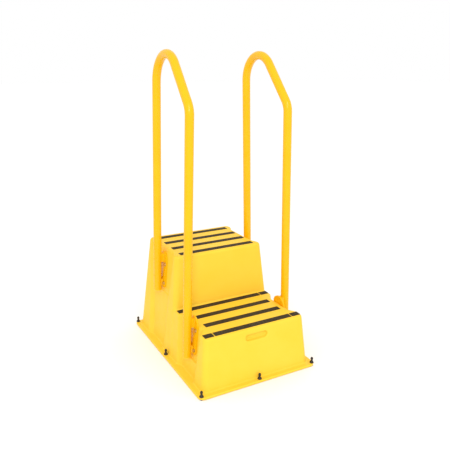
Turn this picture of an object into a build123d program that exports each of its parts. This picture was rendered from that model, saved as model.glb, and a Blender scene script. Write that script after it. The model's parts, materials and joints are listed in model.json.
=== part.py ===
from build123d import *
import math
import os

# Two-step moulded mounting block with a pair of bolted-on steel handrails.
# Millimetres. Origin on the floor under the middle of the base flange.
# +X is to the right of someone walking up, +Y is away from them, +Z is up.

os.makedirs("parts", exist_ok=True)

# base flange
flange_width = 596.0
flange_length = 798.0
flange_bottom = 2.0
flange_top = 14.0
flange_corner = 25.0

# moulded steps
first_rise = 250.0
second_rise = 500.0
draft = 0.093
wall = 6.0
side_at_first = 251.8
front_at_first = -352.5
riser_at_first = -37.0
rear_at_first = 352.5
lower_block_end = 20.0
lower_block_narrower = 1.5
corner_radius = 25.0
tread_edge_radius = 12.0
riser_foot_radius = 6.0

# hand grip pocket in the front face
grip_width = 110.0
grip_height = 29.0
grip_depth = 16.0
grip_z = 209.5

# anti-slip strips
strip_width = 32.0
strip_thickness = 1.6
strip_half = 195.0
strip_gap = 4.0
end_strip_length = 44.0
lower_strips_y = [-339.0 + 88.5 * k for k in range(4)]
upper_strips_y = [4.0 + 89.0 * k for k in range(4)]

# handrails
tube_radius = 19.0
tube_wall = 2.0
rail_x_at_floor = 264.0
rail_lean = 1.55
front_leg_y = -191.5
rear_leg_y = 156.0
front_leg_foot = 98.0
rear_leg_foot = 288.0
kink_z = 1175.0
kink_radius = 75.0
slope_angle = 49.0
bend_radius = 114.0
plug_flange = 4.0
plug_length = 22.0

# fixing plates, which lie along the drafted walls and are welded to the legs
plate_thickness = 8.0
plate_half_width = 42.0
plate_above_foot = 16.0
plate_height = 173.0
plate_top_radius = 41.0
plate_bottom_radius = 14.0
weld_height = 32.0
spacer_low = 124.0
spacer_high = 166.0
spacer_half = 14.0
bolt_radius = 4.0
bolt_hole_radius = 4.5
bolt_offset = 31.0
bolt_rows = [21.0, 116.0]
washer_thickness = 1.6
nut_height = 6.5
backing_thickness = 3.0

# side troughs that the legs stand in; their flanks slope and they widen upward
trough_half_at_floor = 92.0
trough_flare = 0.095
ledge_below_foot = 10.0
front_trough_depth = 18.0
rear_trough_depth = 14.0
front_flank_slope = 1.5
rear_flank_slope = 2.0
trough_corner = 16.0
rim_radius = 10.0

# rubber feet pushed through the flange
foot_inset = 12.5
foot_pad_radius = 6.8
foot_stem_radius = 4.8
foot_hole_radius = 5.0


def side_x(z):
    """Half width of the moulded walls at a height."""
    return side_at_first + draft * (first_rise - z)


def front_y(z):
    return front_at_first - draft * (first_rise - z)


def riser_y(z):
    return riser_at_first - draft * (first_rise - z)


def rear_y(z):
    return rear_at_first + draft * (first_rise - z)


def on_rail(part):
    """Move a part drawn with X outward, Y along the block, Z up the leg."""
    return Pos(rail_x_at_floor, 0, 0) * Rot(0, -rail_lean, 0) * part


def plate_low(foot_z):
    return foot_z + plate_above_foot


def plate_x(foot_z, z):
    """Outer face of a fixing plate, which touches the tube at its lower edge."""
    low = plate_low(foot_z)
    lean = math.radians(rail_lean)
    touch = rail_x_at_floor - low * math.tan(lean) - tube_radius / math.cos(lean)
    return touch - draft * (z - low)


def on_plate(part, foot_z):
    """Move a part drawn with X out of the plate's outer face and Z up from its lower edge."""
    low = plate_low(foot_z)
    tilt = math.degrees(math.atan(draft))
    return Pos(plate_x(foot_z, low), 0, low) * Rot(0, -tilt, 0) * part


def mirrored(part):
    return mirror(part, about=Plane.YZ)


# ---------------------------------------------------------------- moulded body
def tapered_block(bottom, top, front, rear, narrow, inset):
    """Block with drafted walls, every wall moved in by the inset."""
    side = Polyline(
        (front(bottom) + inset, bottom),
        (front(top) + inset, top),
        (rear(top) - inset, top),
        (rear(bottom) - inset, bottom),
        close=True,
    )
    end = Polyline(
        (-side_x(bottom) + narrow + inset, bottom),
        (side_x(bottom) - narrow - inset, bottom),
        (side_x(top) - narrow - inset, top),
        (-side_x(top) + narrow + inset, top),
        close=True,
    )
    long_block = extrude(make_face(Plane.YZ * side), 400, both=True)
    taper = extrude(make_face(Plane.XZ * end), 600, both=True)
    return long_block & taper


def round_uprights(block, radius, behind=1000.0):
    uprights = [
        e for e in block.edges() if abs(e.tangent_at(0.5).Z) > 0.9 and e.center().Y < behind
    ]
    return fillet(uprights, radius)


def level_edges(block, z):
    return [e for e in block.edges() if all(abs(e.position_at(k).Z - z) < 0.01 for k in (0, 0.5, 1))]


def lower_block(bottom, inset):
    """Front step. Its rear end is buried in the taller block."""
    block = tapered_block(bottom, first_rise - inset, front_y, lambda z: lower_block_end,
                          lower_block_narrower, inset)
    return round_uprights(block, corner_radius - inset, behind=lower_block_end - 60)


def upper_block(bottom, inset):
    block = tapered_block(bottom, second_rise - inset, riser_y, rear_y, 0.0, inset)
    return round_uprights(block, corner_radius - inset)


def rounded_lower_block():
    block = lower_block(flange_top, 0)
    edges = [e for e in level_edges(block, first_rise) if e.center().Y < lower_block_end - 1]
    return fillet(edges, tread_edge_radius)


def rounded_upper_block():
    block = upper_block(flange_top, 0)
    return fillet(level_edges(block, second_rise), tread_edge_radius)


def pad_x(foot_z, z):
    """Back of a trough behind its fixing plate."""
    return plate_x(foot_z, z) - plate_thickness * math.hypot(1, draft)


def flank(leg_y, side, slope, grow):
    """Plane of one sloping flank of a trough; the trough lies on its upper side."""
    half = trough_half_at_floor + grow * math.hypot(1, slope)
    normal = (slope, -side, draft * slope + trough_flare)
    return Plane(origin=(side_x(0), leg_y + side * half, 0), z_dir=normal)


def trough_cutter(leg_y, foot_z, depth, slope, tread_z, grow):
    """Trough for a right-hand leg, open outward and at the top, with a ledge under the leg."""
    ledge = foot_z - ledge_below_foot - grow
    bottom = flange_top if grow == 0 else flange_bottom - 5.0
    top = tread_z + 40.0
    outline = Polyline(
        (420, bottom),
        (side_x(bottom) - depth - grow, bottom),
        (side_x(ledge) - depth - grow, ledge),
        (pad_x(foot_z, ledge) - grow, ledge),
        (pad_x(foot_z, top) - grow, top),
        (420, top),
        close=True,
    )
    cutter = extrude(make_face(Plane.XZ * outline), 600, both=True)
    for side in (-1, 1):
        cutter = split(cutter, bisect_by=flank(leg_y, side, slope, grow), keep=Keep.TOP)
    inner_corners = [
        e for e in cutter.edges() if abs(e.tangent_at(0.5).Z) > 0.9 and e.center().X < 400
    ]
    return fillet(inner_corners, trough_corner)


def leg_trough(is_front, grow):
    if is_front:
        return trough_cutter(front_leg_y, front_leg_foot, front_trough_depth,
                             front_flank_slope, first_rise, grow)
    return trough_cutter(rear_leg_y, rear_leg_foot, rear_trough_depth,
                         rear_flank_slope, second_rise, grow)


def notch_rim_cutter(leg_y, foot_z, slope, tread_z):
    """Rounds the edge of a tread where a trough notches into it."""
    x_in = pad_x(foot_z, tread_z)
    x_out = side_x(tread_z) + 20
    half_out = trough_half_at_floor + trough_flare * tread_z + slope * 20
    half_in = half_out - slope * (x_out - x_in)
    path = FilletPolyline(
        (x_out, leg_y - half_out, tread_z),
        (x_in, leg_y - half_in, tread_z),
        (x_in, leg_y + half_in, tread_z),
        (x_out, leg_y + half_out, tread_z),
        radius=trough_corner,
    )
    r = rim_radius
    arc = ThreePointArc((r, 0), (0.2 * r, -0.3 * r), (-2.6, -r - 2))
    lid = Polyline((-2.6, -r - 2), (-5, -r - 2), (-5, 2), (r, 2), (r, 0))
    inward = Vector(-1, slope, 0).normalized()
    start = Plane(
        origin=(x_out, leg_y - half_out, tread_z),
        x_dir=(-inward.Y, inward.X, 0),
        z_dir=inward,
    )
    return sweep(start * make_face(arc + lid), path=path, transition=Transition.ROUND)


def tread_notches(is_front):
    """Everything that a pair of legs cuts out of its step."""
    if is_front:
        rim = notch_rim_cutter(front_leg_y, front_leg_foot, front_flank_slope, first_rise)
    else:
        rim = notch_rim_cutter(rear_leg_y, rear_leg_foot, rear_flank_slope, second_rise)
    trough = leg_trough(is_front, 0)
    return [trough, mirrored(trough), rim, mirrored(rim)]


def grip_pocket(grow):
    """Pill-shaped pocket under the front edge of the lower tread."""
    face = SlotOverall(grip_width + 2 * grow, grip_height + 2 * grow)
    start = front_y(grip_z) - 20
    cutter = extrude(Plane.XZ * face, 20 + grip_depth + grow, dir=(0, 1, 0))
    return Pos(0, start, grip_z) * cutter


def foot_places():
    x = flange_width / 2 - foot_inset
    y = flange_length / 2 - foot_inset
    return {
        "front_left": (-x, -y),
        "front_middle": (0, -y),
        "front_right": (x, -y),
        "left_middle": (-x, 0),
        "right_middle": (x, 0),
        "rear_left": (-x, y),
        "rear_middle": (0, y),
        "rear_right": (x, y),
    }


def bolt_axes():
    return [(y, z) for y in (-bolt_offset, bolt_offset) for z in bolt_rows]


def bolt_drills(leg_y):
    """Bolt holes of one leg, drawn on its fixing plate."""
    drill = Rot(0, 90, 0) * Cylinder(bolt_hole_radius, 60)
    return [Pos(-plate_thickness, leg_y + y, z) * drill for y, z in bolt_axes()]


def make_shell_outside():
    lower = rounded_lower_block()
    for cut in tread_notches(True):
        lower -= cut
    upper = rounded_upper_block()
    for cut in tread_notches(False):
        upper -= cut
    outside = lower + upper
    riser_foot = [
        e for e in level_edges(outside, first_rise)
        if abs(e.center().Y - riser_at_first) < 5 and e.length > 200
    ]
    outside = fillet(riser_foot, riser_foot_radius)
    return outside - grip_pocket(0)


def make_shell_inside():
    inside = lower_block(flange_bottom - 5, wall) + upper_block(flange_bottom - 5, wall)
    for front in (True, False):
        inside -= leg_trough(front, wall)
        inside -= mirrored(leg_trough(front, wall))
    return inside - grip_pocket(wall)


def make_body():
    flange_face = RectangleRounded(flange_width, flange_length, flange_corner)
    flange = Pos(0, 0, flange_bottom) * extrude(flange_face, flange_top - flange_bottom)
    body = make_shell_outside() + flange - make_shell_inside()
    for x, y in foot_places().values():
        body -= Pos(x, y, flange_bottom) * Cylinder(foot_hole_radius, 40)
    for leg_y, foot_z in legs():
        for drill in bolt_drills(leg_y):
            hole = on_plate(drill, foot_z)
            body -= hole
            body -= mirrored(hole)
    return body


# ---------------------------------------------------------------- anti-slip strips
def strip(x0, x1, y0, z):
    """Grit strip lying on a tread with a chamfered rim."""
    bar = Box(x1 - x0, strip_width, strip_thickness, align=(Align.MIN, Align.MIN, Align.MIN))
    bar = fillet(bar.edges().filter_by(Axis.Z), 3.0)
    bar = chamfer(bar.faces().sort_by(Axis.Z)[-1].edges(), 0.5)
    return Pos(x0, y0, z) * bar


def make_strips():
    nodes = {}
    for k, y in enumerate(lower_strips_y):
        nodes[f"lower_strip_{k + 1}"] = strip(-strip_half, strip_half, y, first_rise)
    for k, y in enumerate(upper_strips_y):
        nodes[f"upper_strip_{k + 1}"] = strip(-strip_half, strip_half, y, second_rise)
    near = strip_half + strip_gap
    far = near + end_strip_length
    for name, y in (("front", lower_strips_y[0]), ("rear", lower_strips_y[3])):
        nodes[f"end_strip_{name}_right"] = strip(near, far, y, first_rise)
        nodes[f"end_strip_{name}_left"] = strip(-far, -near, y, first_rise)
    return nodes


# ---------------------------------------------------------------- handrails
def legs():
    return ((front_leg_y, front_leg_foot), (rear_leg_y, rear_leg_foot))


def rail_path():
    """Centre line in the leaning plane: up the front leg, back along the slope, down the rear leg."""
    a = math.radians(slope_angle)
    along = (math.cos(a), math.sin(a))
    t = kink_radius * math.tan((math.pi / 2 - a) / 2)
    kink = (front_leg_y, kink_z)
    k0 = (kink[0], kink[1] - t)
    k1 = (kink[0] + along[0] * t, kink[1] + along[1] * t)
    rise = (rear_leg_y - front_leg_y) * math.tan(a)
    vertex = (rear_leg_y, kink_z + rise)
    turn = math.pi / 2 + a
    u = bend_radius * math.tan(turn / 2)
    b0 = (vertex[0] - along[0] * u, vertex[1] - along[1] * u)
    b1 = (rear_leg_y, vertex[1] - u)
    centre = (rear_leg_y - bend_radius, b1[1])
    apex = (centre[0], centre[1] + bend_radius)
    path = Line((front_leg_y, front_leg_foot), k0)
    path += TangentArc(k0, k1, tangent=(0, 1))
    path += Line(k1, b0)
    path += ThreePointArc(b0, apex, b1)
    path += Line(b1, (rear_leg_y, rear_leg_foot))
    return path


def make_rail():
    """Bent tube of the right-hand rail."""
    path = Plane.YZ * rail_path()
    start = Plane(origin=(0, front_leg_y, front_leg_foot), z_dir=(0, 0, 1))
    ring = Circle(tube_radius) - Circle(tube_radius - tube_wall)
    return on_rail(sweep(start * ring, path=path))


def make_plate(leg_y, foot_z):
    """Fixing plate with a domed top, welded to the leg below and by a spacer block above."""
    face = Pos(leg_y, plate_height / 2) * Rectangle(2 * plate_half_width, plate_height)
    plate = extrude(Plane.YZ * face, -plate_thickness)
    across = plate.edges().filter_by(Axis.X)
    plate = fillet(across.sort_by(Axis.Z)[-2:], plate_top_radius)
    plate = fillet(plate.edges().filter_by(Axis.X).sort_by(Axis.Z)[:2], plate_bottom_radius)
    for drill in bolt_drills(leg_y):
        plate -= drill
    weld_face = Polyline((0, -18), (9, -14), (9, 14), (0, 18), close=True)
    plate += Pos(0, leg_y, 5) * extrude(make_face(weld_face), weld_height)
    spacer = Box(20, 2 * spacer_half, spacer_high - spacer_low, align=(Align.MIN, Align.CENTER, Align.MIN))
    plate += Pos(0, leg_y, spacer_low) * spacer
    leg = Pos(0, leg_y, foot_z + 100) * Cylinder(tube_radius, 400)
    return on_plate(plate, foot_z) - on_rail(leg)


def make_plug(leg_y, foot_z):
    """Push-in end plug with a rounded foot."""
    cap = Pos(0, 0, -plug_flange / 2) * Cylinder(tube_radius, plug_flange)
    cap = fillet(cap.edges().sort_by(Axis.Z)[:1], 2.0)
    body = Pos(0, 0, plug_length / 2) * Cylinder(tube_radius - tube_wall, plug_length)
    hollow = Pos(0, 0, plug_length / 2 + 3) * Cylinder(tube_radius - tube_wall - 3, plug_length)
    return on_rail(Pos(0, leg_y, foot_z) * (cap + body - hollow))


def outward(part):
    """Turn a part drawn along +Z so that +Z points away from the block."""
    return Rot(0, 90, 0) * part


def place_bolts(part, leg_y, foot_z, x):
    """One copy of a fastener piece at every bolt of a leg."""
    copies = [Pos(x, leg_y + y, z) * outward(part) for y, z in bolt_axes()]
    return on_plate(Compound(children=copies), foot_z)


def make_bolts(leg_y, foot_z):
    """Hexagon bolts, heads outside the plate."""
    grip = washer_thickness + plate_thickness + wall + backing_thickness + nut_height + 3
    head = extrude(RegularPolygon(bolt_radius * 1.6, 6, major_radius=False), 5.3)
    head = head & Pos(0, 0, -8.2) * Sphere(14.2)
    shank = Pos(0, 0, -grip / 2) * Cylinder(bolt_radius, grip)
    shank = chamfer(shank.edges().sort_by(Axis.Z)[:1], 0.8)
    return place_bolts(head + shank, leg_y, foot_z, washer_thickness)


def make_washers(leg_y, foot_z):
    ring = Cylinder(8.0, washer_thickness) - Cylinder(bolt_hole_radius, 10)
    return place_bolts(Pos(0, 0, washer_thickness / 2) * ring, leg_y, foot_z, 0)


def make_backing(leg_y, foot_z):
    """Spreader plate inside the moulding behind one fixing plate."""
    low = bolt_rows[0] - 14
    high = bolt_rows[1] + 14
    face = Pos(leg_y, (low + high) / 2) * RectangleRounded(2 * bolt_offset + 28, high - low, 5)
    plate = extrude(Plane.YZ * face, -backing_thickness)
    plate = Pos(-plate_thickness - wall, 0, 0) * plate
    for drill in bolt_drills(leg_y):
        plate -= drill
    return on_plate(plate, foot_z)


def make_nuts(leg_y, foot_z):
    nut = extrude(RegularPolygon(bolt_radius * 1.6, 6, major_radius=False), nut_height)
    nut -= Cylinder(bolt_radius, 40)
    x = -plate_thickness - wall - backing_thickness - nut_height
    return place_bolts(nut, leg_y, foot_z, x)


# ---------------------------------------------------------------- rubber feet
def make_foot(x, y):
    """Floor pad, waist through the flange, shoulder and pull-through tail."""
    pad = foot_pad_radius
    stem = foot_stem_radius
    top = flange_top
    profile = Polyline(
        (0, 0),
        (pad - 1.0, 0),
        (pad, 1.0),
        (pad, flange_bottom),
        (stem, flange_bottom),
        (stem, top),
        (9.5, top),
        (9.5, top + 3),
        (4.2, top + 12),
        (4.2, top + 15),
    )
    profile += ThreePointArc((4.2, top + 15), (6.2, top + 21), (3.2, top + 28))
    profile += Polyline((3.2, top + 28), (0, top + 29.5), (0, 0))
    foot = revolve(make_face(Plane.XZ * profile), Axis.Z)
    return Pos(x, y, 0) * foot


# ---------------------------------------------------------------- export
def make_all():
    nodes = {"step_body": make_body()}
    nodes.update(make_strips())
    rail = make_rail()
    nodes["handrail_tube_right"] = rail
    nodes["handrail_tube_left"] = mirrored(rail)
    makers = {
        "fixing_plate": make_plate,
        "tube_plug": make_plug,
        "bolts": make_bolts,
        "washers": make_washers,
        "backing_plate": make_backing,
        "nuts": make_nuts,
    }
    for end, (leg_y, foot_z) in zip(("front", "rear"), legs()):
        for name, maker in makers.items():
            part = maker(leg_y, foot_z)
            nodes[f"{name}_{end}_right"] = part
            nodes[f"{name}_{end}_left"] = mirrored(part)
    for name, (x, y) in foot_places().items():
        nodes[f"foot_{name}"] = make_foot(x, y)
    return nodes


for node, part in make_all().items():
    export_step(part, f"parts/{node}.step")
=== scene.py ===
import json
import math
import random

import bmesh
import bpy
from mathutils import Matrix, Vector


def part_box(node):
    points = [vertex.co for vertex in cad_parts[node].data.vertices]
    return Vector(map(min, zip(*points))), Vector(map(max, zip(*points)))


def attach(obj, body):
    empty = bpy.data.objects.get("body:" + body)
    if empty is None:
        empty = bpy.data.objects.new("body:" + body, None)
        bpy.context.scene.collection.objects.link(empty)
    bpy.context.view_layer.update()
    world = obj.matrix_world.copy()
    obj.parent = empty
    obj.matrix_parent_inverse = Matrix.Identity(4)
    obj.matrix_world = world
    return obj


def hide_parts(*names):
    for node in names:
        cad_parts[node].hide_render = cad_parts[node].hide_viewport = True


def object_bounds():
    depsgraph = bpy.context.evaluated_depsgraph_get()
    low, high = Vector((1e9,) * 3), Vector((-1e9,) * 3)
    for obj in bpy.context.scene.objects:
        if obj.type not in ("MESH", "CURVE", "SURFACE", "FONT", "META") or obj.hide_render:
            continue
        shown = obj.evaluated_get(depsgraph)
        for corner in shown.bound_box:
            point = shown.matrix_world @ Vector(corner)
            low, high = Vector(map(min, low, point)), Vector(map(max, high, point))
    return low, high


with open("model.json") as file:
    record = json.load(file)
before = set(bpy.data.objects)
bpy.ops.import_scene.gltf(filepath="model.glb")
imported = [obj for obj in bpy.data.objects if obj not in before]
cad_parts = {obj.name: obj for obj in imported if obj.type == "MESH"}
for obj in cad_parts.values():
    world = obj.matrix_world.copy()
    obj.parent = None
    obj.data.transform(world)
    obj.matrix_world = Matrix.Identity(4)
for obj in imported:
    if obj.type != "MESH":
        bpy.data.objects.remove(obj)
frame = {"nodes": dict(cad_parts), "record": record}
cad_low, cad_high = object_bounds()

# Looks of a moulded two-step mounting block with two bolted handrails.
# Metres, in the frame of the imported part: +X right, +Y away from the person climbing, +Z up.

SIDES = ("left", "right")
LEGS = {"front": (-0.1915, 0.098), "rear": (0.156, 0.288)}  # y of the leg, height of its foot

# handrail tube: it leans inward by RAIL_LEAN about the floor line at RAIL_X_AT_FLOOR
RAIL_X_AT_FLOOR = 0.264
RAIL_LEAN = math.radians(1.55)
TUBE_RADIUS = 0.019
TUBE_SKIN = 0.0189
TUBE_BORE = 0.017
KINK_Z = 1.175
KINK_RADIUS = 0.075
SLOPE = math.radians(49.0)
BEND_RADIUS = 0.114

# fixing plates: parallel to the drafted wall, touching the tube at their lower edge
WALL_DRAFT = 0.093
PLATE_ABOVE_FOOT = 0.016
PLATE_THICKNESS = 0.008
WALL_THICKNESS = 0.006
BACKING_THICKNESS = 0.003
WASHER_THICKNESS = 0.0016
BOLT_ROWS = (0.021, 0.116)
BOLT_OFFSET = 0.031
BOLT_RADIUS = 0.004
THREAD_PITCH = 0.00125
RINGS_A_TURN = 5
HEX_HALF = 0.0064
HEAD_HEIGHT = 0.0053
NUT_HEIGHT = 0.0065
SPACER = (0.124, 0.166)

# moulded body: the skin is smoothed from a little above the flange
BODY_VOXEL = 0.0034
BODY_FACES = 150000
FLANGE_TOP = 0.014
SMOOTH_FROM = FLANGE_TOP + 0.004
SMOOTH_FACTOR = 0.5
SMOOTH_TURNS = 5

# weld beads: radius and length of one ripple
PLATE_WELD = (0.0042, 0.0032)
SPACER_WELD = (0.0026, 0.0028)
BEAD_STEPS = 14

# points round every turned or bent piece
ROUND_STEPS = 48

# edges of the CAD pieces that keep their shape: width and segments of the bevel
SOFT_EDGES = {
    "fixing_plate": (0.0009, 2),
    "backing_plate": (0.0004, 2),
    "tube_plug": (0.0006, 2),
    "foot": (0.0005, 3),
}
SOFT_ANGLE = math.radians(30.0)

# grit strips
GRIT_STEP = 0.0013
GRIT_SCATTER = 0.3
GRIT_SHARPNESS = 2.2
STRIP_CORNER = 0.003
STRIP_RIM = 0.0005

# light
SUN_FROM = (-0.30, -1.0, 0.85)
SUN_STRENGTH = 0.65
SUN_SPREAD = math.radians(22.0)
KEY_PLACE = (-1.6, -2.6, 2.4)
KEY_TARGET = (0.0, 0.0, 0.6)
KEY_SIZE = 0.55
KEY_POWER = 26.0
FLOOR_HALF = 40.0

# camera
CAMERA_PLACE = (-1.1158, -2.1034, 1.3334)
CAMERA_YAW = math.radians(28.63)
CAMERA_PITCH = math.radians(16.68)
CAMERA_ROLL = math.radians(0.32)
CAMERA_LENS = 42.3


# ---------------------------------------------------------------- node helpers
class Nodes:
    """Short way to write a material's node tree."""

    def __init__(self, name):
        self.material = bpy.data.materials.new(name)
        self.material.use_nodes = True
        self.tree = self.material.node_tree
        self.shader = self.tree.nodes["Principled BSDF"]
        self.place = self.add("ShaderNodeTexCoord").outputs["Object"]

    def add(self, kind, **values):
        node = self.tree.nodes.new(kind)
        for key, value in values.items():
            setattr(node, key, value)
        return node

    def link(self, output, socket):
        self.tree.links.new(output, socket)

    def noise(self, scale, detail=2.0, roughness=0.5, stretch=None):
        node = self.add("ShaderNodeTexNoise")
        node.inputs["Scale"].default_value = scale
        node.inputs["Detail"].default_value = detail
        node.inputs["Roughness"].default_value = roughness
        self.link(self.stretched(stretch), node.inputs["Vector"])
        return node.outputs["Fac"]

    def cells(self, scale):
        """Distance to the nearest of many scattered points."""
        node = self.add("ShaderNodeTexVoronoi")
        node.inputs["Scale"].default_value = scale
        self.link(self.place, node.inputs["Vector"])
        return node.outputs["Distance"]

    def stretched(self, stretch):
        if stretch is None:
            return self.place
        node = self.add("ShaderNodeMapping")
        node.inputs["Scale"].default_value = stretch
        self.link(self.place, node.inputs["Vector"])
        return node.outputs["Vector"]

    def ramp(self, value, stops):
        """Colour ramp over (position, colour) stops."""
        node = self.add("ShaderNodeValToRGB")
        elements = node.color_ramp.elements
        while len(elements) < len(stops):
            elements.new(0.5)
        for element, (position, colour) in zip(elements, stops):
            element.position = position
            element.color = (*colour, 1.0)
        self.link(value, node.inputs["Fac"])
        return node.outputs["Color"]

    def spread(self, value, low, high):
        """Maps noise, which lies mostly between 0.3 and 0.7, to low and high."""
        node = self.add("ShaderNodeMapRange")
        node.inputs["From Min"].default_value = 0.3
        node.inputs["From Max"].default_value = 0.7
        node.inputs["To Min"].default_value = low
        node.inputs["To Max"].default_value = high
        self.link(value, node.inputs["Value"])
        return node.outputs["Result"]

    def bump(self, height, strength, distance, below=None):
        node = self.add("ShaderNodeBump")
        node.inputs["Strength"].default_value = strength
        node.inputs["Distance"].default_value = distance
        self.link(height, node.inputs["Height"])
        if below is not None:
            self.link(below, node.inputs["Normal"])
        return node.outputs["Normal"]

    def set(self, **values):
        """Uniform numbers go straight on the shader's own sockets."""
        for key, value in values.items():
            self.shader.inputs[key.replace("_", " ")].default_value = value

    def feed(self, **outputs):
        for key, output in outputs.items():
            self.link(output, self.shader.inputs[key.replace("_", " ")])


slot_colours = {m["slot"]: m["base_color"] for m in frame["record"]["materials"]}


def finish_material(nodes, slot):
    """Also gives the viewport colour of the record's slot."""
    nodes.material.diffuse_color = (*slot_colours[slot][:3], 1.0)
    return nodes.material


# ---------------------------------------------------------------- materials
def moulded_yellow():
    """Polyethylene, coloured through: satin, faintly cloudy, with a fine moulded grain."""
    n = Nodes("moulded_yellow")
    cloud = n.noise(7.0, detail=3.0)
    colour = n.ramp(cloud, [(0.3, (0.940, 0.572, 0.038)), (0.7, (0.955, 0.598, 0.052))])
    rough = n.spread(n.noise(24.0, detail=4.0), 0.40, 0.52)
    waves = n.bump(n.noise(11.0, detail=1.0), 0.30, 0.002)
    grain = n.bump(n.noise(1100.0, detail=2.0), 0.12, 0.0003, below=waves)
    n.feed(Base_Color=colour, Roughness=rough, Normal=grain)
    n.set(Specular_IOR_Level=0.14)
    return finish_material(n, "yellow_moulding")


def powder_coat():
    """Deeper yellow powder coat with its slight orange peel."""
    n = Nodes("powder_coat")
    cloud = n.noise(10.0, detail=2.0)
    colour = n.ramp(cloud, [(0.3, (0.86, 0.450, 0.002)), (0.7, (0.88, 0.475, 0.004))])
    rough = n.spread(n.noise(50.0, detail=3.0), 0.24, 0.32)
    peel = n.bump(n.noise(240.0, detail=1.0), 0.08, 0.0003)
    n.feed(Base_Color=colour, Roughness=rough, Normal=peel)
    n.set(Specular_IOR_Level=0.20, Coat_Weight=0.20, Coat_Roughness=0.06, Coat_IOR=1.35)
    return finish_material(n, "yellow_coat")


def grit_tape():
    """Dark mineral grit bonded to tape, with lighter grains that catch the light."""
    n = Nodes("grit_tape")
    grains = n.noise(750.0, detail=3.0, roughness=0.7)
    patches = n.noise(16.0, detail=3.0)
    dark = n.ramp(
        grains,
        [
            (0.34, (0.016, 0.011, 0.004)),
            (0.50, (0.040, 0.030, 0.014)),
            (0.70, (0.15, 0.125, 0.075)),
        ],
    )
    shade = n.ramp(patches, [(0.35, (0.80, 0.76, 0.70)), (0.65, (1.0, 1.0, 1.0))])
    mixed = n.add("ShaderNodeMix", data_type="RGBA", blend_type="MULTIPLY")
    mixed.inputs["Factor"].default_value = 1.0
    n.link(dark, mixed.inputs["A"])
    n.link(shade, mixed.inputs["B"])
    rise = n.bump(n.cells(900.0), 0.7, 0.0005)
    n.feed(Base_Color=mixed.outputs["Result"], Roughness=n.spread(grains, 0.9, 0.6), Normal=rise)
    n.set(Specular_IOR_Level=0.2)
    return finish_material(n, "grit")


def foot_rubber():
    """Black rubber with a grey bloom."""
    n = Nodes("foot_rubber")
    bloom = n.noise(140.0, detail=3.0)
    colour = n.ramp(bloom, [(0.3, (0.022, 0.016, 0.009)), (0.75, (0.050, 0.039, 0.024))])
    rough = n.spread(n.noise(300.0, detail=2.0), 0.50, 0.70)
    skin = n.bump(n.noise(900.0, detail=2.0), 0.2, 0.0003)
    n.feed(Base_Color=colour, Roughness=rough, Normal=skin)
    n.set(Specular_IOR_Level=0.3)
    return finish_material(n, "foot_rubber")


def zinc_steel():
    """Yellow-passivated zinc plate, with cloudy colour and fine tool streaks."""
    n = Nodes("zinc_steel")
    cloud = n.noise(160.0, detail=3.0)
    colour = n.ramp(
        cloud,
        [
            (0.30, (0.50, 0.32, 0.10)),
            (0.50, (0.66, 0.48, 0.19)),
            (0.70, (0.74, 0.58, 0.32)),
        ],
    )
    streak = n.noise(500.0, detail=2.0, stretch=(1.0, 0.2, 1.0))
    n.feed(Base_Color=colour, Roughness=n.spread(streak, 0.26, 0.42))
    n.feed(Normal=n.bump(streak, 0.15, 0.0002))
    n.set(Metallic=1.0)
    return finish_material(n, "zinc_steel")


MATERIALS = {
    "yellow_moulding": moulded_yellow(),
    "yellow_coat": powder_coat(),
    "grit": grit_tape(),
    "foot_rubber": foot_rubber(),
    "zinc_steel": zinc_steel(),
}
SLOT_OF = {s["node"]: s["material_slot"] for s in frame["record"]["subparts"]}

for node_name, node in frame["nodes"].items():
    node.data.materials.clear()
    node.data.materials.append(MATERIALS[SLOT_OF[node_name]])


# ---------------------------------------------------------------- mesh helpers
class Shape:
    """Points and faces of one new piece."""

    def __init__(self):
        self.points = []
        self.faces = []

    def loft(self, rings, close_rings=False):
        """Skin over rings of equal length, capped unless close_rings joins the last ring to the first."""
        start = len(self.points)
        count = len(rings[0])
        for ring in rings:
            self.points += ring
        last = len(rings) if close_rings else len(rings) - 1
        for i in range(last):
            a = start + i * count
            b = start + (i + 1) % len(rings) * count
            for k in range(count):
                m = (k + 1) % count
                self.faces.append((a + k, a + m, b + m, b + k))
        if not close_rings:
            self.faces.append(tuple(range(start, start + count)))
            end = start + (len(rings) - 1) * count
            self.faces.append(tuple(range(end, end + count)))

    def moved(self, matrix):
        self.points = [matrix @ Vector(p) for p in self.points]
        return self

    def add(self, other):
        start = len(self.points)
        self.points += other.points
        self.faces += [tuple(start + k for k in face) for face in other.faces]


def piece(name, shape, slot, replaced=None, flip_x=False, crease=35.0):
    """Turn a shape into a piece that belongs to the part."""
    sign = -1.0 if flip_x else 1.0
    mesh = bpy.data.meshes.new(name)
    mesh.from_pydata([(sign * p[0], p[1], p[2]) for p in shape.points], [], shape.faces)
    work = bmesh.new()
    work.from_mesh(mesh)
    bmesh.ops.recalc_face_normals(work, faces=work.faces)
    work.to_mesh(mesh)
    work.free()
    return adopt(name, mesh, slot, replaced, crease)


def adopt(name, mesh, slot, replaced=None, crease=35.0):
    """Make a mesh a piece that rides on the part; crease is the sharpest edge shaded smooth."""
    mesh.shade_smooth()
    mesh.set_sharp_from_angle(angle=math.radians(crease))
    mesh.materials.clear()
    mesh.materials.append(MATERIALS[slot])
    made = bpy.data.objects.new(name, mesh)
    bpy.context.scene.collection.objects.link(made)
    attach(made, "root")
    if replaced:
        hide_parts(replaced)
    return made


def circle(radius, z):
    turn = [2 * math.pi * k / ROUND_STEPS for k in range(ROUND_STEPS)]
    return [Vector((radius * math.cos(a), radius * math.sin(a), z)) for a in turn]


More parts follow.
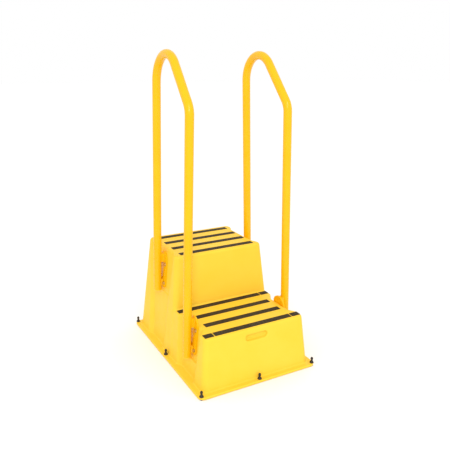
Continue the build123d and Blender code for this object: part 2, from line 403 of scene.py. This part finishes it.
def hexagon(half, limit, z):
    """Hexagon across flats 2 * half, cut round at the limit radius."""
    ring = []
    for k in range(ROUND_STEPS):
        a = 2 * math.pi * k / ROUND_STEPS
        off = (a + math.pi / 6) % (math.pi / 3) - math.pi / 6
        r = min(half / math.cos(off), limit)
        ring.append(Vector((r * math.cos(a), r * math.sin(a), z)))
    return ring


def threaded(radius, z0, z1):
    """Rings of a screw thread between two heights."""
    steps = max(2, round((z1 - z0) / THREAD_PITCH * RINGS_A_TURN))
    depth = 0.6 * THREAD_PITCH
    rings = []
    for i in range(steps + 1):
        z = z0 + (z1 - z0) * i / steps
        ring = []
        for k in range(ROUND_STEPS):
            phase = (z / THREAD_PITCH - k / ROUND_STEPS) % 1.0
            r = radius - depth * abs(2 * phase - 1)
            a = 2 * math.pi * k / ROUND_STEPS
            ring.append(Vector((r * math.cos(a), r * math.sin(a), z)))
        rings.append(ring)
    return rings


# ---------------------------------------------------------------- moulded body
def make_body():
    """The moulding with every edge softened, as plastic leaves the mould, within the CAD box."""
    rough = bpy.data.objects.new("rough_body", frame["nodes"]["step_body"].data.copy())
    bpy.context.scene.collection.objects.link(rough)
    remesh = rough.modifiers.new("remesh", "REMESH")
    remesh.mode = "VOXEL"
    remesh.voxel_size = BODY_VOXEL
    mesh = baked(rough)
    rough.modifiers.clear()
    rough.data = mesh
    above = [v.index for v in mesh.vertices if v.co.z > SMOOTH_FROM]
    rough.vertex_groups.new(name="above").add(above, 1.0, "REPLACE")
    smooth = rough.modifiers.new("smooth", "SMOOTH")
    smooth.factor = SMOOTH_FACTOR
    smooth.iterations = SMOOTH_TURNS
    smooth.vertex_group = "above"
    fewer = rough.modifiers.new("fewer", "DECIMATE")
    fewer.ratio = min(1.0, BODY_FACES / (2 * len(mesh.polygons)))
    mesh = baked(rough)
    for v in mesh.vertices:
        v.co = [min(max(c, a), b) for c, a, b in zip(v.co, cad_low, cad_high)]
    bpy.data.objects.remove(rough)
    adopt("moulded_body", mesh, "yellow_moulding", "step_body", crease=60.0)


def baked(thing):
    """The mesh of an object with its modifiers applied."""
    graph = bpy.context.evaluated_depsgraph_get()
    return bpy.data.meshes.new_from_object(thing.evaluated_get(graph))


# ---------------------------------------------------------------- handrails
def on_rail():
    lean = Matrix.Rotation(-RAIL_LEAN, 4, "Y")
    return Matrix.Translation((RAIL_X_AT_FLOOR, 0, 0)) @ lean


def arc(centre, radius, start, end, steps):
    """Points (y, z) and headings along an arc, angles from +Y."""
    points = []
    for k in range(steps + 1):
        a = start + (end - start) * k / steps
        heading = a + (math.pi / 2 if end > start else -math.pi / 2)
        points.append((centre[0] + radius * math.cos(a), centre[1] + radius * math.sin(a), heading))
    return points


def rail_line():
    """(y, z, heading) up the front leg, along the slope and down the rear leg."""
    (front_y, front_foot), (rear_y, rear_foot) = LEGS["front"], LEGS["rear"]
    turn = math.pi / 2 - SLOPE
    start_z = KINK_Z - KINK_RADIUS * math.tan(turn / 2)
    line = [(front_y, front_foot, math.pi / 2)]
    kink = (front_y + KINK_RADIUS, start_z)
    line += arc(kink, KINK_RADIUS, math.pi, math.pi / 2 + SLOPE, 12)
    top_z = KINK_Z + (rear_y - front_y) * math.tan(SLOPE)
    down = BEND_RADIUS * math.tan((math.pi / 2 + SLOPE) / 2)
    bend = (rear_y - BEND_RADIUS, top_z - down)
    line += arc(bend, BEND_RADIUS, math.pi / 2 + SLOPE, 0.0, 40)
    line.append((rear_y, rear_foot, -math.pi / 2))
    return line


def tube_ring(y, z, heading, radius):
    """Ring square to the heading, in the plane of the rail."""
    ring = []
    for k in range(ROUND_STEPS):
        a = 2 * math.pi * k / ROUND_STEPS
        across = radius * math.cos(a)
        place_y = y - across * math.sin(heading)
        place_z = z + across * math.cos(heading)
        ring.append(Vector((radius * math.sin(a), place_y, place_z)))
    return ring


def make_rails():
    line = rail_line()
    outer = [tube_ring(y, z, h, TUBE_SKIN) for y, z, h in line]
    inner = [tube_ring(y, z, h, TUBE_BORE) for y, z, h in reversed(line)]
    for side in SIDES:
        shape = Shape()
        shape.loft(outer + inner, close_rings=True)
        shape.moved(on_rail())
        node = f"handrail_tube_{side}"
        piece(f"rail_{side}", shape, "yellow_coat", node, side == "left", crease=50.0)


# ---------------------------------------------------------------- fixings
def on_plate(leg):
    """Frame with X out of a fixing plate's outer face and Z up from its lower edge."""
    leg_y, foot_z = LEGS[leg]
    low = foot_z + PLATE_ABOVE_FOOT
    touch = RAIL_X_AT_FLOOR - low * math.tan(RAIL_LEAN) - TUBE_RADIUS / math.cos(RAIL_LEAN)
    tilt = Matrix.Rotation(-math.atan(WALL_DRAFT), 4, "Y")
    return Matrix.Translation((touch, leg_y, low)) @ tilt


def bolt_frames(leg, x):
    """Frames with Z outward at each bolt of a leg, with a different turn of the head at each."""
    turns = random.Random(len(leg))
    outward = Matrix.Rotation(math.pi / 2, 4, "Y")
    frames = []
    for y in (-BOLT_OFFSET, BOLT_OFFSET):
        for z in BOLT_ROWS:
            place = Matrix.Translation((x, y, z))
            twist = Matrix.Rotation(turns.uniform(0, math.pi / 3), 4, "Z")
            frames.append(on_plate(leg) @ place @ outward @ twist)
    return frames


def bolt_shape():
    """Head with a washer face, chamfered corners and a dished top, and a threaded end."""
    grip = WASHER_THICKNESS + PLATE_THICKNESS + WALL_THICKNESS + BACKING_THICKNESS
    end = -(grip + NUT_HEIGHT + 0.003)
    thread_top = -(grip - 0.002)
    corner = HEX_HALF / math.cos(math.pi / 6)
    h = HEAD_HEIGHT
    rings = [
        hexagon(BOLT_RADIUS - 0.0006, BOLT_RADIUS - 0.0006, end),
        *threaded(BOLT_RADIUS, end + 0.0006, thread_top),
        circle(BOLT_RADIUS, thread_top + 0.0008),
        circle(BOLT_RADIUS, 0.0),
        circle(HEX_HALF - 0.0002, 0.0),
        circle(HEX_HALF - 0.0002, 0.0004),
        hexagon(HEX_HALF, HEX_HALF, 0.0004),
        hexagon(HEX_HALF, corner, 0.0009),
        hexagon(HEX_HALF, corner, h - 0.0012),
        hexagon(HEX_HALF, HEX_HALF + 0.0004, h - 0.0004),
        circle(HEX_HALF - 0.0004, h),
        circle(HEX_HALF - 0.0016, h),
        circle(HEX_HALF - 0.0022, h - 0.0003),
        circle(0.0006, h - 0.0003),
    ]
    shape = Shape()
    shape.loft(rings)
    return shape


def nut_shape():
    """Nut chamfered at both ends, with a threaded bore."""
    corner = HEX_HALF / math.cos(math.pi / 6)
    h = NUT_HEIGHT
    bore = threaded(BOLT_RADIUS + 0.0007, 0.0006, h - 0.0006)
    rings = [
        circle(BOLT_RADIUS + 0.0008, 0.0),
        circle(HEX_HALF, 0.0),
        hexagon(HEX_HALF, corner, 0.0010),
        hexagon(HEX_HALF, corner, h - 0.0010),
        circle(HEX_HALF, h),
        circle(BOLT_RADIUS + 0.0008, h),
        *reversed(bore),
    ]
    shape = Shape()
    shape.loft(rings, close_rings=True)
    return shape


def washer_shape():
    t = WASHER_THICKNESS
    profile = [(0.0045, 0.0003), (0.0048, 0.0), (0.0077, 0.0), (0.0080, 0.0003),
               (0.0080, t - 0.0004), (0.0076, t), (0.0048, t), (0.0045, t - 0.0003)]
    shape = Shape()
    shape.loft([circle(r, z) for r, z in profile], close_rings=True)
    return shape


def make_fasteners():
    """Bolts, washers and nuts of every fixing plate."""
    inside = -(PLATE_THICKNESS + WALL_THICKNESS + BACKING_THICKNESS + NUT_HEIGHT)
    kinds = {
        "bolts": (bolt_shape, WASHER_THICKNESS),
        "washers": (washer_shape, 0.0),
        "nuts": (nut_shape, inside),
    }
    for kind, (maker, x) in kinds.items():
        for leg in LEGS:
            shape = Shape()
            for place in bolt_frames(leg, x):
                shape.add(maker().moved(place))
            for side in SIDES:
                name = f"{kind}_{leg}_{side}"
                piece(f"detailed_{name}", shape, "zinc_steel", name, side == "left")


def bead(points, size):
    """Weld bead along points: overlapping scallops, drawn in at both ends."""
    radius, ripple = size
    a, b = Vector(points[0]), Vector(points[1])
    along = (b - a).normalized()
    side = along.orthogonal().normalized()
    up = along.cross(side)
    length = (b - a).length
    steps = max(8, round(length / ripple * 6))
    rings = []
    for i in range(steps + 1):
        t = i / steps
        wave = (t * length / ripple) % 1.0
        ends = min(1.0, math.sqrt(max(0.0, min(t, 1 - t)) * length / radius * 1.6) + 0.25)
        r = radius * ends * (0.88 + 0.14 * math.sqrt(1 - (1 - wave) ** 2))
        centre = a + along * (t * length)
        ring = []
        for k in range(BEAD_STEPS):
            angle = 2 * math.pi * k / BEAD_STEPS
            ring.append(centre + side * (r * math.cos(angle)) + up * (r * math.sin(angle)))
        rings.append(ring)
    shape = Shape()
    shape.loft(rings)
    return shape


def make_welds():
    """Beads beside the tube at the foot of each plate and round each spacer block."""
    low, high = SPACER
    for leg in LEGS:
        shape = Shape()
        for y in (-1, 1):
            shape.add(bead([(0.0022, y * 0.0166, 0.004), (0.0042, y * 0.0168, 0.038)], PLATE_WELD))
            shape.add(bead([(0.0006, y * 0.0146, low), (0.0006, y * 0.0146, high)], SPACER_WELD))
        for z in (high, low):
            shape.add(bead([(0.0006, -0.013, z), (0.0006, 0.013, z)], SPACER_WELD))
        shape.moved(on_plate(leg))
        for side in SIDES:
            piece(f"welds_{leg}_{side}", shape, "yellow_coat", None, side == "left", crease=80.0)


def soften_edges():
    """Round off the sharp edges of the CAD nodes that keep their shape."""
    for node_name, node in frame["nodes"].items():
        for start, (width, segments) in SOFT_EDGES.items():
            if node_name.startswith(start):
                bevel = node.modifiers.new("soft_edges", "BEVEL")
                bevel.width = width
                bevel.segments = segments
                bevel.limit_method = "ANGLE"
                bevel.angle_limit = SOFT_ANGLE


# ---------------------------------------------------------------- grit strips
def strip_place(x, y, half_x, half_y):
    """Bend a rectangle's corners round, with every grid point kept apart."""
    out = []
    for value, half in ((x, half_x), (y, half_y)):
        out.append((abs(value) - (half - STRIP_CORNER)) / STRIP_CORNER)
    a, b = out
    if a > 0 and b > 0:
        na = a * math.sqrt(1 - b * b / 2)
        nb = b * math.sqrt(1 - a * a / 2)
        x = math.copysign(half_x - STRIP_CORNER + STRIP_CORNER * na, x)
        y = math.copysign(half_y - STRIP_CORNER + STRIP_CORNER * nb, y)
    return x, y


def grit_points(shape, low, high, steps, grains):
    """Scattered grains at random heights over a strip, with an even, lower rim."""
    nx, ny = steps
    middle = [(a + b) / 2 for a, b in zip(low, high)]
    half_x = (high[0] - low[0]) / 2
    half_y = (high[1] - low[1]) / 2
    for i in range(nx + 1):
        for j in range(ny + 1):
            on_rim = i in (0, nx) or j in (0, ny)
            x = -half_x + 2 * half_x * i / nx
            y = -half_y + 2 * half_y * j / ny
            if not on_rim:
                x += grains.uniform(-GRIT_SCATTER, GRIT_SCATTER) * GRIT_STEP
                y += grains.uniform(-GRIT_SCATTER, GRIT_SCATTER) * GRIT_STEP
            px, py = strip_place(x, y, half_x, half_y)
            rise = grains.random() ** GRIT_SHARPNESS
            z = high[2] - STRIP_RIM * (1.6 if on_rim else 1.1 * (1 - rise))
            shape.points.append(Vector((middle[0] + px, middle[1] + py, z)))


def grit_faces(shape, low, steps):
    """Top over the grid of grains, walls down to the tread and a flat underside."""
    nx, ny = steps
    row = ny + 1
    for i in range(nx):
        for j in range(ny):
            k = i * row + j
            shape.faces.append((k, k + row, k + row + 1, k + 1))
    rim = list(range(ny))
    rim += [i * row + ny for i in range(nx)]
    rim += [nx * row + j for j in range(ny, 0, -1)]
    rim += [i * row for i in range(nx, 0, -1)]
    base = len(shape.points)
    for k in rim:
        p = shape.points[k]
        shape.points.append(Vector((p.x, p.y, low[2])))
    for k in range(len(rim)):
        m = (k + 1) % len(rim)
        shape.faces.append((rim[k], rim[m], base + m, base + k))
    shape.faces.append(tuple(range(base, base + len(rim))))


def grit_strip(node_name, seed):
    """Strip with its grains standing up out of the tape."""
    low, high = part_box(node_name)
    half_x = (high[0] - low[0]) / 2
    half_y = (high[1] - low[1]) / 2
    steps = (round(2 * half_x / GRIT_STEP), round(2 * half_y / GRIT_STEP))
    shape = Shape()
    grit_points(shape, low, high, steps, random.Random(seed))
    grit_faces(shape, low, steps)
    piece(f"grit_{node_name}", shape, "grit", node_name, crease=25.0)


def make_strips():
    names = [n for n in frame["nodes"] if "strip" in n]
    for seed, name in enumerate(sorted(names)):
        grit_strip(name, seed)


make_body()
make_rails()
make_fasteners()
make_welds()
make_strips()
soften_edges()


# ---------------------------------------------------------------- stage, light and camera
def make_floor():
    """Wide white floor."""
    mesh = bpy.data.meshes.new("floor")
    half = FLOOR_HALF
    corners = [(-half, -half, 0), (half, -half, 0), (half, half, 0), (-half, half, 0)]
    mesh.from_pydata(corners, [], [(0, 1, 2, 3)])
    floor = bpy.data.objects.new("floor", mesh)
    bpy.context.scene.collection.objects.link(floor)
    n = Nodes("floor_paper")
    n.set(Base_Color=(0.93, 0.93, 0.93, 1.0), Roughness=0.9, Specular_IOR_Level=0.0)
    mesh.materials.append(n.material)


def add_light(name, kind, direction, place=(0.0, 0.0, 0.0)):
    """Lamp at a place, shining along a direction."""
    data = bpy.data.lights.new(name, kind)
    lamp = bpy.data.objects.new(name, data)
    bpy.context.scene.collection.objects.link(lamp)
    lamp.location = place
    lamp.rotation_euler = direction.to_track_quat("-Z", "Y").to_euler()
    return data


def make_lights():
    """Even sun over the whole floor, one soft key light and a white room."""
    sun = add_light("sun", "SUN", -Vector(SUN_FROM))
    sun.energy = SUN_STRENGTH
    sun.angle = SUN_SPREAD
    key = add_light("key", "AREA", Vector(KEY_TARGET) - Vector(KEY_PLACE), KEY_PLACE)
    key.shape = "DISK"
    key.size = KEY_SIZE
    key.energy = KEY_POWER
    world = bpy.data.worlds.new("studio")
    world.use_nodes = True
    background = world.node_tree.nodes["Background"]
    background.inputs["Color"].default_value = (1.0, 1.0, 1.0, 1.0)
    background.inputs["Strength"].default_value = 1.0
    bpy.context.scene.world = world


def make_camera():
    data = bpy.data.cameras.new("camera")
    data.sensor_width = 36.0
    data.lens = CAMERA_LENS
    data.clip_end = 100.0
    camera = bpy.data.objects.new("camera", data)
    bpy.context.scene.collection.objects.link(camera)
    turn = Matrix.Rotation(-CAMERA_YAW, 4, "Z")
    tilt = Matrix.Rotation(math.pi / 2 - CAMERA_PITCH, 4, "X")
    roll = Matrix.Rotation(CAMERA_ROLL, 4, "Z")
    camera.matrix_world = Matrix.Translation(CAMERA_PLACE) @ turn @ tilt @ roll
    bpy.context.scene.camera = camera


make_floor()
make_lights()
make_camera()
bpy.context.scene.view_settings.view_transform = "Standard"
